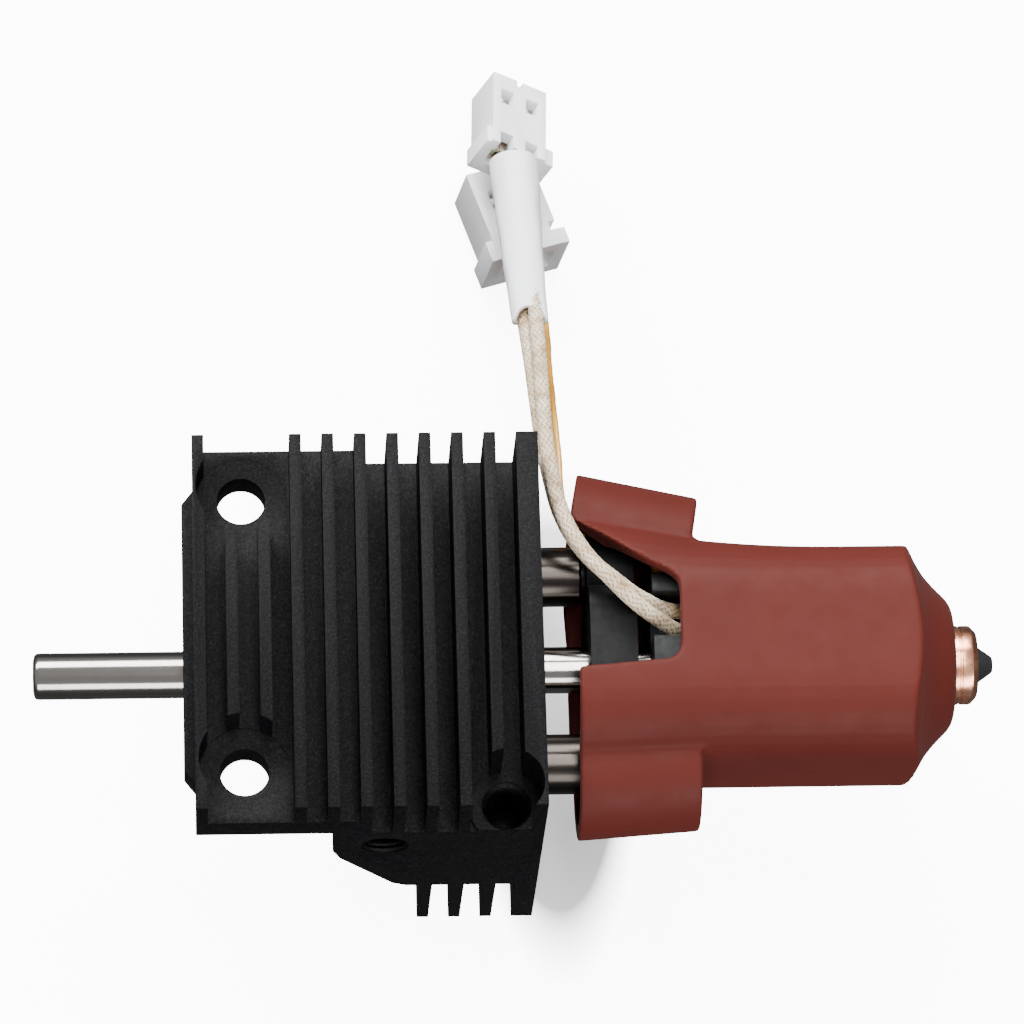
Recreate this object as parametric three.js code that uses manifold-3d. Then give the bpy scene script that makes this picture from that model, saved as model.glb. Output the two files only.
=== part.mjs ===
// Hotend assembly for a desktop 3-D printer: finned heatsink, heat-break tube, hot block under a
// silicone sock, copper nozzle with a hardened tip, and the two leads with their connectors.
// Millimetres, +Z up. The assembly lies on its rear fins; the nozzle points along +X.
// Pieces are drawn in bench coordinates: X from the heatsink's left face, Y from the tube's axis,
// Z from the resting surface. The whole group is then shifted to its own bottom centre.
import * as THREE from 'three';
import { mergeVertices } from 'three/addons/utils/BufferGeometryUtils.js';
import Module from 'manifold-3d';

const wasm = await Module();
wasm.setup();

// ---- driving dimensions -------------------------------------------------------------------
const GAP = 0.3;                 // clearance between separate pieces
const AXIS_Z = 15.8;             // height of the tube and nozzle axis
const CENTRE_X = 20.58;          // bench position of the group's middle
const CENTRE_Y = 0.85;

const SINK_WIDTH = 22.1;
const SINK_BACK = -11.65;        // heatsink's -Y face
const SINK_FRONT = 13.35;        // heatsink's +Y face
const SINK_MID = (SINK_BACK + SINK_FRONT) / 2;
const SINK_TOP = 24.0;
const PLATE_TOP = 20.9;          // root of the fins on the mounting plate
const BLOCK_TOP = 18.5;          // root of the fins on the clamp block, underside of the plate
const BLOCK_BOTTOM = 7.15;
const BLOCK_LEFT = 8.7;
const BLOCK_DRAFT = 0.15;        // the block's left wall leans in under the mounting plate
const BLOCK_STEP = 11.11;        // where the plate ends and the deeper roots begin
const FIN_PITCH = 2.07;
const FIN_THICK = 0.76;
const END_FIN_THICK = 1.4;
const SHORT_FINS = [1, 2];
const FULL_FINS_PLATE = [3, 4, 5];
const FULL_FINS_BLOCK = [6, 7, 8, 9];
const REAR_FINS = [7, 8, 9];
const FLANGE_OUT = 0.7;
const FLANGE_HALF = 8.9;
const FLANGE_CHAMFER = 0.9;

const HOLE_X = 3.12;             // the two clearance holes of the mounting plate
const HOLE_SPREAD = 9.1;
const HOLE_R = 1.6;
const POCKET_R = 2.9;
const BLIND_X = 19.7;            // blind hole at the lower right
const BLIND_Y = -10.1;
const BLIND_R = 1.5;
const BLIND_DEPTH = 6.0;
const BLIND_POCKET_R = 2.2;
const SET_X = 12.0;              // set screw from the -Y face
const SET_HOLE_R = 1.5;
const SET_R = 1.22;
const SET_LENGTH = 5.0;
const SET_HEX = 0.75;
const SET_HEX_DEPTH = 1.8;

const TUBE_R = 1.5;
const TUBE_BORE_R = 0.95;
const TUBE_LEFT = -10.3;
const TUBE_RIGHT = 35.0;

const POST_Y = 6.37;             // standoffs above and below the tube
const POST_R = 1.93;
const STUD_R = 1.25;              // threaded end of a standoff, screwed into the heatsink
const STUD_LEFT = 17.0;
const POST_BORE_R = 1.25;
const POST_BORE_LEFT = 22.9;
const SCREW_R = 0.95;            // countersunk screw from the carrier plate into the standoff
const SCREW_LEFT = 23.3;
const SCREW_HEAD_R = 1.9;
const SCREW_HEAD_LEFT = 27.2;
const SCREW_RIGHT = 28.1;
const SCREW_HEX = 0.6;
const SCREW_HEX_DEPTH = 0.7;

const PLATE_LEFT = 25.3;         // carrier plate of the hot side
const PLATE_RIGHT = 28.3;
const PLATE_EAR_R = 2.9;
const PLATE_HALF = 4.6;          // half width of the carrier plate's middle
const HOT_HALF = 5.2;            // half width of the hot block
const HOT_CORNER = 1.5;
const HOT_LEFT = 29.3;
const HOT_RIGHT = 45.6;
const HOT_WALL = 1.9;            // closed left wall of the hot block
const RING_R = 4.2;              // ceramic heater
const RING_BORE_R = 2.85;
const RING_LEFT = 31.5;
const RING_RIGHT = 45.0;
const LEAD_SLOT = { y0: 0.5, y1: 3.5, z0: 1.9 };
const BEAD = { y: 4.5, z: 2.6, r: 0.6, x0: 31.6, x1: 37.0, groove: 0.9 };

const NOZZLE_R = 2.55;
const NOZZLE_LEFT = 31.5;
const NOZZLE_RIGHT = 50.36;
const NOZZLE_CHAMFER = 0.45;
const TIP_STEM_R = 1.2;
const TIP_STEM_LEFT = 46.6;
const TIP_END = 51.46;
const TIP_END_R = 0.5;
const ORIFICE_R = 0.2;
const MELT_BORE_R = 0.9;

const SOCK = {
  left: 24.4, earRight: 31.5, right: 48.8, half: 7.0, corner: 4.0, earR: 4.4,
  wall: 1.0, shoulder: 46.0, noseR: 4.1, hole: NOZZLE_R + GAP,
};
const SOCK_NOTCH = [[24.0, -2.1], [30.3, -1.6], [30.9, -1.0], [30.9, 3.3], [27.0, 6.6], [24.0, 7.6]];

const LEAD_R = 0.45;             // braided heater lead
const LEAD_APART = 0.5;          // half the spacing of the pair
const LEAD_TURN = Math.PI;       // the pair crosses over once, by this share of its path
const LEAD_TURN_SHARE = 0.9;
const AMBER_R = 0.2;             // film-covered sensor lead
const AMBER_APART = 0.27;
const AMBER_TURN = Math.PI / 2;
const AMBER_TURN_FROM = 0.5;     // the sensor pair starts to turn half way along
const CORD_SIDES = 8;
const LEAD_PATH = [
  [31.2, 2.05, 19.0], [30.3, 2.1, 19.7], [29.1, 2.35, 20.9], [28.0, 2.9, 21.6], [26.6, 4.1, 22.0],
  [25.3, 5.4, 22.0], [24.2, 7.2, 21.7], [23.5, 9.2, 21.1], [23.1, 11.6, 20.3], [22.8, 14.4, 19.3],
  [22.65, 17.8, 17.9], [22.55, 21.6, 16.0], [22.4, 25.6, 13.8], [22.15, 30.2, 11.8],
  [21.98, 34.6, 10.2], [21.92, 36.8, 9.5], [21.9, 38.2, 9.1],
];
const AMBER_PATH = [
  [31.25, 4.55, 18.4], [30.5, 5.0, 18.2], [29.9, 6.0, 17.6], [29.3, 7.8, 16.6], [28.4, 9.0, 16.1],
  [26.6, 9.05, 15.9], [25.2, 9.05, 15.8], [24.2, 9.5, 15.7], [23.95, 12.0, 15.5], [23.85, 14.8, 15.0],
  [23.7, 18.0, 13.9], [23.6, 22.4, 11.2], [23.65, 26.8, 7.9], [23.5, 30.4, 4.9], [23.2, 33.1, 2.9],
];
const SLEEVE = { from: [22.4, 25.2, 14.0], to: [21.92, 38.0, 9.15], r0: 1.6, r1: 1.7, wall: 0.3 };

// roll: about the plug's own length; dip: its mating end below its wire end; turn: about Z
const HEATER_PLUG = {
  at: [21.73, 41.2, 7.2], roll: 27, dip: -22, turn: -3, width: 4.1, length: 5.6, thick: 3.0,
  pitch: 1.9, cavity: 1.3, flange: 0.5, flangeLong: 1.6,
};
const SENSOR_PLUG = {
  at: [21.8, 36.75, 2.72], roll: 9, dip: 0, turn: 19, width: 4.7, length: 6.6, thick: 4.5,
  pitch: 1.9, cavity: 1.4, flange: 0.5, flangeLong: 1.5,
};
const TERMINAL = { wide: 0.9, thick: 0.9, long: 3.6, inset: 1.1 };

const SEG = 40;                  // facets round a full circle

// ---- materials ----------------------------------------------------------------------------
const paint = (color, roughness, metalness) =>
  new THREE.MeshStandardMaterial({ color, roughness, metalness });
const ANODISED = paint(0x16171b, 0.6, 0.5);
const STEEL = paint(0xb9b6b0, 0.25, 1.0);
const BLACK_STEEL = paint(0x232426, 0.4, 0.8);
const COPPER = paint(0xd08a63, 0.3, 1.0);
const HOT_METAL = paint(0x55585c, 0.45, 0.9);
const CERAMIC = paint(0xe8e4da, 0.5, 0.0);
const SILICONE = paint(0x8c3a30, 0.75, 0.0);
const BRAID = paint(0xd8ccb8, 0.85, 0.0);
const AMBER = paint(0xb4760f, 0.35, 0.0);
const WHITE_SLEEVE = paint(0xf0f0f0, 0.5, 0.0);
const NYLON = paint(0xf2f2ee, 0.45, 0.0);
const TIN = paint(0xa89a86, 0.35, 1.0);

// ---- solid helpers ------------------------------------------------------------------------
function solid(geometry) {
  const bare = geometry.clone();
  bare.deleteAttribute('normal');
  bare.deleteAttribute('uv');
  const merged = mergeVertices(bare, 1e-5);
  return new wasm.Manifold(new wasm.Mesh({
    numProp: 3,
    vertProperties: new Float32Array(merged.attributes.position.array),
    triVerts: new Uint32Array(merged.index.array),
  }));
}

function box(x0, x1, y0, y1, z0, z1) {
  const geometry = new THREE.BoxGeometry(x1 - x0, y1 - y0, z1 - z0);
  geometry.translate((x0 + x1) / 2, (y0 + y1) / 2, (z0 + z1) / 2);
  return solid(geometry);
}

// round bar along X, Y or Z, given by its ends and the two other coordinates of its axis
function rod(axis, radius, from, to, a, b, segments = SEG) {
  const geometry = new THREE.CylinderGeometry(radius, radius, to - from, segments);
  const middle = (from + to) / 2;
  if (axis === 'x') {
    geometry.rotateZ(-Math.PI / 2);
    geometry.translate(middle, a, b);
  } else if (axis === 'y') {
    geometry.translate(a, middle, b);
  } else {
    geometry.rotateX(Math.PI / 2);
    geometry.translate(a, b, middle);
  }
  return solid(geometry);
}

// body of revolution about an axis along X at the given Y; profile points are [x, radius]
function turned(profile, y = 0, segments = SEG) {
  const points = profile.map(([x, radius]) => new THREE.Vector2(radius, x));
  const geometry = new THREE.LatheGeometry(points, segments);
  geometry.rotateZ(-Math.PI / 2);
  geometry.translate(0, y, AXIS_Z);
  const made = solid(geometry);
  return made.volume() < 0 ? solid(flipped(geometry)) : made;
}

function flipped(geometry) {
  const copy = geometry.clone();
  const index = Array.from(copy.index.array);
  for (let i = 0; i < index.length; i += 3) {
    [index[i], index[i + 1]] = [index[i + 1], index[i]];
  }
  copy.setIndex(index);
  return copy;
}

// XZ outline extruded along Y
function slabAlongY(outline, y0, y1) {
  const shape = new THREE.Shape(outline.map(([x, z]) => new THREE.Vector2(x, z)));
  const geometry = new THREE.ExtrudeGeometry(shape, { depth: y1 - y0, bevelEnabled: false });
  geometry.rotateX(Math.PI / 2);
  geometry.translate(0, y1, 0);
  return solid(geometry);
}

// XY outline extruded along Z
function slabAlongZ(outline, z0, z1) {
  const shape = new THREE.Shape(outline.map(([x, y]) => new THREE.Vector2(x, y)));
  const geometry = new THREE.ExtrudeGeometry(shape, { depth: z1 - z0, bevelEnabled: false });
  geometry.translate(0, 0, z0);
  return solid(geometry);
}

// square section with round corners, centred on the tube's axis and extruded along X
function roundedBar(x0, x1, half, corner) {
  const side = half - corner;
  const shape = new THREE.Shape();
  shape.absarc(side, side, corner, 0, Math.PI / 2);
  shape.absarc(-side, side, corner, Math.PI / 2, Math.PI);
  shape.absarc(-side, -side, corner, Math.PI, 1.5 * Math.PI);
  shape.absarc(side, -side, corner, 1.5 * Math.PI, 2 * Math.PI);
  const options = { depth: x1 - x0, bevelEnabled: false, curveSegments: 8 };
  const geometry = new THREE.ExtrudeGeometry(shape, options);
  geometry.rotateY(Math.PI / 2);
  geometry.translate(x0, 0, AXIS_Z);
  return solid(geometry);
}

const join = (first, ...rest) => rest.reduce((sum, next) => sum.add(next), first);
const cut = (first, ...rest) => rest.reduce((sum, next) => sum.subtract(next), first);

function toGeometry(manifold) {
  const data = manifold.getMesh();
  const geometry = new THREE.BufferGeometry();
  geometry.setAttribute('position', new THREE.BufferAttribute(new Float32Array(data.vertProperties), 3));
  geometry.setIndex(new THREE.BufferAttribute(new Uint32Array(data.triVerts), 1));
  return geometry;
}

const hotend = new THREE.Group();
hotend.name = 'hotend_assembly';

function place(name, shape, material) {
  const base = shape.isBufferGeometry ? shape : toGeometry(shape);
  const geometry = base.index ? base.toNonIndexed() : base;
  geometry.translate(-CENTRE_X, -CENTRE_Y, 0);
  geometry.computeVertexNormals();
  const mesh = new THREE.Mesh(geometry, material);
  mesh.name = name;
  hotend.add(mesh);
}

// ---- heatsink -----------------------------------------------------------------------------
// side outline of the plate, the clamp block and every full-length fin
function sinkOutline() {
  const line = [[0, BLOCK_TOP], [0, SINK_TOP], [FIN_THICK, SINK_TOP], [FIN_THICK, PLATE_TOP]];
  for (const i of FULL_FINS_PLATE) {
    const x = i * FIN_PITCH;
    line.push([x, PLATE_TOP], [x, SINK_TOP], [x + FIN_THICK, SINK_TOP]);
    line.push([x + FIN_THICK, i * FIN_PITCH + FIN_THICK >= BLOCK_STEP - 1e-6 ? BLOCK_TOP : PLATE_TOP]);
  }
  for (const i of FULL_FINS_BLOCK) {
    const x = i * FIN_PITCH;
    line.push([x, BLOCK_TOP], [x, SINK_TOP], [x + FIN_THICK, SINK_TOP], [x + FIN_THICK, BLOCK_TOP]);
  }
  const last = SINK_WIDTH - END_FIN_THICK;
  line.push([last, BLOCK_TOP], [last, SINK_TOP], [SINK_WIDTH, SINK_TOP], [SINK_WIDTH, 0]);
  line.push([last, 0], [last, BLOCK_BOTTOM]);
  for (const i of [...REAR_FINS].reverse()) {
    const x = i * FIN_PITCH;
    line.push([x + FIN_THICK, BLOCK_BOTTOM], [x + FIN_THICK, 0], [x, 0], [x, BLOCK_BOTTOM]);
  }
  line.push([13.6, BLOCK_BOTTOM], [12.7, 7.7], [9.35, 13.2]);
  line.push([BLOCK_LEFT + BLOCK_DRAFT, 14.8], [BLOCK_LEFT, BLOCK_TOP]);
  return line;
}

function flange() {
  const low = SINK_MID - FLANGE_HALF;
  const high = SINK_MID + FLANGE_HALF;
  const outline = [
    [0.2, low - FLANGE_CHAMFER], [0.2, high + FLANGE_CHAMFER], [0, high + FLANGE_CHAMFER],
    [-FLANGE_OUT, high], [-FLANGE_OUT, low], [0, low - FLANGE_CHAMFER],
  ];
  return slabAlongZ(outline, BLOCK_TOP, PLATE_TOP);
}

function heatsink() {
  let body = slabAlongY(sinkOutline(), SINK_BACK, SINK_FRONT);
  const holes = [SINK_MID - HOLE_SPREAD, SINK_MID + HOLE_SPREAD];
  for (const i of SHORT_FINS) {
    const x = i * FIN_PITCH;
    body = body.add(box(x, x + FIN_THICK, holes[0], holes[1], PLATE_TOP - 0.5, SINK_TOP));
  }
  body = body.add(flange());
  for (const y of holes) {
    body = cut(body, rod('z', POCKET_R, PLATE_TOP, SINK_TOP + 1, HOLE_X, y));
    body = cut(body, rod('z', HOLE_R, BLOCK_TOP - 1, PLATE_TOP + 1, HOLE_X, y));
  }
  body = cut(body, rod('z', BLIND_POCKET_R, BLOCK_TOP, SINK_TOP + 1, BLIND_X, BLIND_Y));
  body = cut(body, rod('z', BLIND_R, BLOCK_TOP - BLIND_DEPTH, BLOCK_TOP + 1, BLIND_X, BLIND_Y));
  body = cut(body, rod('x', TUBE_R + GAP, BLOCK_LEFT - 2, SINK_WIDTH + 1, 0, AXIS_Z));
  body = cut(body, rod('y', SET_HOLE_R, SINK_BACK - 1, 0, SET_X, AXIS_Z));
  for (const y of [-POST_Y, POST_Y]) {
    body = cut(body, rod('x', STUD_R + GAP, STUD_LEFT - GAP, SINK_WIDTH + 1, y, AXIS_Z));
  }
  return body;
}

// headless screw with a hexagonal socket at its outer end
function setScrew() {
  const inner = -TUBE_R - GAP;
  const outer = inner - SET_LENGTH;
  const body = rod('y', SET_R, outer, inner, SET_X, AXIS_Z);
  return cut(body, rod('y', SET_HEX, outer - 1, outer + SET_HEX_DEPTH, SET_X, AXIS_Z, 6));
}

// ---- parts on the axis --------------------------------------------------------------------
function tube() {
  const outside = rod('x', TUBE_R, TUBE_LEFT, TUBE_RIGHT, 0, AXIS_Z);
  return cut(outside, rod('x', TUBE_BORE_R, TUBE_LEFT - 1, TUBE_RIGHT + 1, 0, AXIS_Z));
}

function nozzleBody() {
  const outside = turned([
    [NOZZLE_LEFT, 0], [NOZZLE_LEFT, NOZZLE_R], [NOZZLE_RIGHT - NOZZLE_CHAMFER, NOZZLE_R],
    [NOZZLE_RIGHT, NOZZLE_R - NOZZLE_CHAMFER], [NOZZLE_RIGHT, 0],
  ]);
  return cut(
    outside,
    rod('x', TUBE_R + GAP, NOZZLE_LEFT - 1, TUBE_RIGHT + GAP, 0, AXIS_Z),
    rod('x', MELT_BORE_R, TUBE_RIGHT, TIP_STEM_LEFT, 0, AXIS_Z),
    rod('x', TIP_STEM_R + GAP, TIP_STEM_LEFT - GAP, NOZZLE_RIGHT + 1, 0, AXIS_Z),
  );
}

function nozzleTip() {
  const outside = turned([
    [TIP_STEM_LEFT, 0], [TIP_STEM_LEFT, TIP_STEM_R], [NOZZLE_RIGHT, TIP_STEM_R],
    [TIP_END, TIP_END_R], [TIP_END, 0],
  ]);
  return cut(outside, rod('x', ORIFICE_R, TIP_STEM_LEFT - 1, TIP_END + 1, 0, AXIS_Z, 12));
}

// ---- standoffs and their screws -----------------------------------------------------------
function standoff(y) {
  const from = SINK_WIDTH + GAP;
  const to = PLATE_LEFT - GAP;
  return cut(
    join(rod('x', POST_R, from, to, y, AXIS_Z), rod('x', STUD_R, STUD_LEFT, from + 0.3, y, AXIS_Z)),
    rod('x', POST_BORE_R, POST_BORE_LEFT, to + 1, y, AXIS_Z),
  );
}

// radius of the countersunk head, or of its seat when grown by `grow`
function countersunk(y, left, right, grow) {
  return turned([
    [left, 0], [left, SCREW_R + grow], [SCREW_HEAD_LEFT, SCREW_R + grow],
    [SCREW_RIGHT, SCREW_HEAD_R + grow], [right, SCREW_HEAD_R + grow], [right, 0],
  ], y);
}

function standoffScrew(y) {
  const body = countersunk(y, SCREW_LEFT, SCREW_RIGHT + 0.001, 0);
  return cut(body, rod('x', SCREW_HEX, SCREW_RIGHT - SCREW_HEX_DEPTH, SCREW_RIGHT + 1, y, AXIS_Z, 6));
}

// ---- hot side -----------------------------------------------------------------------------
function carrierPlate() {
  let body = roundedBar(PLATE_LEFT, PLATE_RIGHT, PLATE_HALF, HOT_CORNER);
  for (const y of [-POST_Y, POST_Y]) {
    body = body.add(rod('x', PLATE_EAR_R, PLATE_LEFT, PLATE_RIGHT, y, AXIS_Z));
  }
  for (const y of [-POST_Y, POST_Y]) {
    body = cut(body, countersunk(y, PLATE_LEFT - 1, PLATE_RIGHT + 1, GAP));
  }
  const wireWay = box(
    PLATE_LEFT - 1, PLATE_RIGHT + 1, POST_Y + PLATE_EAR_R - 0.62, POST_Y + PLATE_EAR_R + 1,
    AXIS_Z - 0.9, AXIS_Z + 1.6,
  );
  return cut(body, rod('x', TUBE_R + GAP, PLATE_LEFT - 1, PLATE_RIGHT + 1, 0, AXIS_Z), wireWay);
}

function heaterBlock() {
  const inner = HOT_LEFT + HOT_WALL;
  const leadSlot = box(
    HOT_LEFT - 1, inner + 0.1, LEAD_SLOT.y0, LEAD_SLOT.y1,
    AXIS_Z + LEAD_SLOT.z0, AXIS_Z + HOT_HALF + 1,
  );
  const groove = box(
    HOT_LEFT - 1, BEAD.x1 + GAP, BEAD.y - BEAD.groove, HOT_HALF + 1,
    AXIS_Z + BEAD.z - BEAD.groove, AXIS_Z + BEAD.z + BEAD.groove,
  );
  return cut(
    roundedBar(HOT_LEFT, HOT_RIGHT, HOT_HALF, HOT_CORNER),
    rod('x', RING_R + GAP, inner, HOT_RIGHT + 1, 0, AXIS_Z),
    rod('x', TUBE_R + GAP, HOT_LEFT - 1, inner + 1, 0, AXIS_Z),
    leadSlot,
    groove,
  );
}

function ceramicHeater() {
  const ring = cut(
    rod('x', RING_R, RING_LEFT, RING_RIGHT, 0, AXIS_Z),
    rod('x', RING_BORE_R, RING_LEFT - 1, RING_RIGHT + 1, 0, AXIS_Z),
  );
  const clearBead = rod('x', BEAD.r + GAP, BEAD.x0 - 1, BEAD.x1 + GAP, BEAD.y, AXIS_Z + BEAD.z);
  return cut(ring, clearBead);
}

const sensorCapsule = () => rod('x', BEAD.r, BEAD.x0, BEAD.x1, BEAD.y, AXIS_Z + BEAD.z, 16);

// ---- silicone sock ------------------------------------------------------------------------
function sock() {
  const { left, earRight, right, half, corner, earR, wall, shoulder, noseR, hole } = SOCK;
  const noseCone = turned([
    [left - 1, 0], [left - 1, half * 1.6], [shoulder - 1.2, half * 1.25], [shoulder, half * 1.08],
    [shoulder + 1.3, noseR + 1.9], [right - 0.2, noseR], [right, noseR - 0.4], [right, 0],
  ]);
  const outside = roundedBar(left, right, half, corner).intersect(noseCone);
  const ears = [-POST_Y, POST_Y].map((y) => rod('x', earR, left, earRight, y, AXIS_Z));
  const inside = roundedBar(left - 1, HOT_RIGHT + GAP, half - wall, corner - wall);
  const earInside = [-POST_Y, POST_Y].map((y) =>
    rod('x', earR - wall, left - 1, earRight - wall, y, AXIS_Z));
  const nozzleHole = rod('x', hole, shoulder - 2, right + 1, 0, AXIS_Z);
  const notch = slabAlongZ(SOCK_NOTCH, AXIS_Z + 1.5, AXIS_Z + half + 1);
  return cut(join(outside, ...ears), inside, ...earInside, nozzleHole, notch);
}

// ---- leads --------------------------------------------------------------------------------
const vectors = (points) => points.map((p) => new THREE.Vector3(...p));

// one strand of a pair: the shared path shifted sideways, turned about it by `turn` over the
// stretch of the path from `from` to `to`
class Strand extends THREE.Curve {
  constructor(points, apart, phase, turn, from, to) {
    super();
    this.middle = new THREE.CatmullRomCurve3(vectors(points), false, 'centripetal');
    this.apart = apart;
    this.phase = phase;
    this.turn = turn;
    this.from = from;
    this.to = to;
  }

  getPoint(t, target = new THREE.Vector3()) {
    const along = this.middle.getTangent(t);
    const side = new THREE.Vector3().crossVectors(new THREE.Vector3(0, 0, 1), along).normalize();
    const up = new THREE.Vector3().crossVectors(along, side);
    const done = THREE.MathUtils.clamp((t - this.from) / (this.to - this.from), 0, 1);
    const angle = this.phase + this.turn * done;
    return target.copy(this.middle.getPoint(t))
      .addScaledVector(side, this.apart * Math.cos(angle))
      .addScaledVector(up, this.apart * Math.sin(angle));
  }
}

function cordSolid(curve, radius, steps) {
  const shape = new THREE.Shape();
  for (let i = 0; i < CORD_SIDES; i += 1) {
    const angle = (2 * Math.PI * i) / CORD_SIDES;
    const x = radius * Math.cos(angle);
    const y = radius * Math.sin(angle);
    if (i === 0) {
      shape.moveTo(x, y);
    } else {
      shape.lineTo(x, y);
    }
  }
  shape.closePath();
  const options = { steps, bevelEnabled: false, extrudePath: curve };
  return new THREE.ExtrudeGeometry(shape, options);
}

function pair(names, strands, radius, steps, material) {
  names.forEach((name, i) => place(name, cordSolid(strands[i], radius, steps), material));
}

const heaterStrands = () => [0, Math.PI].map((phase) =>
  new Strand(LEAD_PATH, LEAD_APART, phase, LEAD_TURN, 0, LEAD_TURN_SHARE));
const sensorStrands = () => [Math.PI / 2, 1.5 * Math.PI].map((phase) =>
  new Strand(AMBER_PATH, AMBER_APART, phase, AMBER_TURN, AMBER_TURN_FROM, 1));

// shrink sleeve that closes over the heater leads, wider at its connector end
function sleeve() {
  const from = new THREE.Vector3(...SLEEVE.from);
  const to = new THREE.Vector3(...SLEEVE.to);
  const middle = from.clone().add(to).multiplyScalar(0.5);
  const along = to.clone().sub(from);
  const length = along.length();
  const sag = new THREE.Vector3(0, 0, -1.0);
  const rings = 9;
  const path = new THREE.QuadraticBezierCurve3(from, middle.add(sag), to);
  const make = (inset, over) => {
    const points = [];
    for (let i = 0; i < rings; i += 1) {
      points.push(path.getPoint(i / (rings - 1)));
    }
    return loft(points, (t) => SLEEVE.r0 + (SLEEVE.r1 - SLEEVE.r0) * t - inset, over / length);
  };
  return cut(make(0, 0), make(SLEEVE.wall, 1.0));
}

// round body through the given centres; both ends are pushed out by the fraction `over`
function loft(centres, radiusAt, over) {
  const sides = 20;
  const points = centres.map((p) => p.clone());
  const last = points.length - 1;
  const first = points[0].clone().sub(points[1]).normalize();
  const end = points[last].clone().sub(points[last - 1]).normalize();
  const reach = over * centres[0].distanceTo(centres[last]);
  points[0].addScaledVector(first, reach);
  points[last].addScaledVector(end, reach);
  const positions = [];
  points.forEach((p, i) => {
    const ahead = points[Math.min(i + 1, last)].clone().sub(points[Math.max(i - 1, 0)]).normalize();
    const side = new THREE.Vector3(1, 0, 0).addScaledVector(ahead, -ahead.x).normalize();
    const up = new THREE.Vector3().crossVectors(ahead, side);
    const r = radiusAt(i / last);
    for (let j = 0; j < sides; j += 1) {
      const a = (2 * Math.PI * j) / sides;
      const q = p.clone().addScaledVector(side, r * Math.cos(a)).addScaledVector(up, r * Math.sin(a));
      positions.push(q.x, q.y, q.z);
    }
  });
  positions.push(...points[0].toArray(), ...points[last].toArray());
  const startCap = points.length * sides;
  const endCap = startCap + 1;
  const index = [];
  for (let j = 0; j < sides; j += 1) {
    const k = (j + 1) % sides;
    for (let i = 0; i < last; i += 1) {
      const a = i * sides + j;
      const b = i * sides + k;
      index.push(a, b, b + sides, a, b + sides, a + sides);
    }
    index.push(startCap, k, j);
    index.push(endCap, last * sides + j, last * sides + k);
  }
  const geometry = new THREE.BufferGeometry();
  geometry.setAttribute('position', new THREE.Float32BufferAttribute(positions, 3));
  geometry.setIndex(index);
  return solid(geometry);
}

// ---- connectors ---------------------------------------------------------------------------
// drawn about the origin with the wire end at -Y, then turned and moved to its place
function poseOf(plug) {
  return (manifold) => manifold
    .rotate([0, plug.roll, 0])
    .rotate([plug.dip, 0, plug.turn])
    .translate(plug.at);
}

function housing(plug) {
  const { width, length, thick, pitch, cavity, flange: out, flangeLong } = plug;
  let body = box(-width / 2, width / 2, -length / 2, length / 2, -thick / 2, thick / 2);
  body = body.add(box(
    -width / 2 - out, width / 2 + out, -length / 2, -length / 2 + flangeLong,
    -thick / 2, thick / 2,
  ));
  for (const x of [-pitch / 2, pitch / 2]) {
    body = cut(body, box(x - cavity / 2, x + cavity / 2, -length, length, -cavity / 2, cavity / 2));
  }
  return body;
}

// folded crimp contact: a square tube closed round the wire end
function terminal(plug, side) {
  const { wide, thick, long, inset } = TERMINAL;
  const x = (side * plug.pitch) / 2;
  const start = -plug.length / 2 + inset;
  const shell = box(x - wide / 2, x + wide / 2, start, start + long, -thick / 2, thick / 2);
  const inner = box(x - wide / 4, x + wide / 4, start - 1, start + long + 1, -thick / 4, thick / 4);
  return cut(shell, inner);
}

// ---- assembly -----------------------------------------------------------------------------
place('heatsink', heatsink(), ANODISED);
place('set_screw', setScrew(), BLACK_STEEL);
place('heatbreak_tube', tube(), STEEL);
place('nozzle_body', nozzleBody(), COPPER);
place('nozzle_tip', nozzleTip(), BLACK_STEEL);
place('standoff_upper', standoff(POST_Y), STEEL);
place('standoff_lower', standoff(-POST_Y), STEEL);
place('standoff_screw_upper', standoffScrew(POST_Y), BLACK_STEEL);
place('standoff_screw_lower', standoffScrew(-POST_Y), BLACK_STEEL);
place('carrier_plate', carrierPlate(), BLACK_STEEL);
place('heater_block', heaterBlock(), HOT_METAL);
place('ceramic_heater', ceramicHeater(), CERAMIC);
place('sensor_capsule', sensorCapsule(), STEEL);
place('silicone_sock', sock(), SILICONE);
pair(['heater_lead_a', 'heater_lead_b'], heaterStrands(), LEAD_R, 36, BRAID);
place('shrink_sleeve', sleeve(), WHITE_SLEEVE);
place('heater_connector', poseOf(HEATER_PLUG)(housing(HEATER_PLUG)), NYLON);
place('heater_terminal_a', poseOf(HEATER_PLUG)(terminal(HEATER_PLUG, -1)), TIN);
place('heater_terminal_b', poseOf(HEATER_PLUG)(terminal(HEATER_PLUG, 1)), TIN);
pair(['sensor_lead_a', 'sensor_lead_b'], sensorStrands(), AMBER_R, 56, AMBER);
place('sensor_connector', poseOf(SENSOR_PLUG)(housing(SENSOR_PLUG)), NYLON);
place('sensor_terminal_a', poseOf(SENSOR_PLUG)(terminal(SENSOR_PLUG, -1)), TIN);
place('sensor_terminal_b', poseOf(SENSOR_PLUG)(terminal(SENSOR_PLUG, 1)), TIN);

export default hotend;
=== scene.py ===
"""Looks of the hotend assembly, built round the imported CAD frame. Metres, +Z up.

Pieces are laid out in bench millimetres, as the CAD source is: X from the heatsink's left face,
Y from the tube's axis, Z from the surface. mm() turns such a point into the row frame.
"""

import math

import bmesh
import bpy
from mathutils import Matrix, Vector


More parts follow.
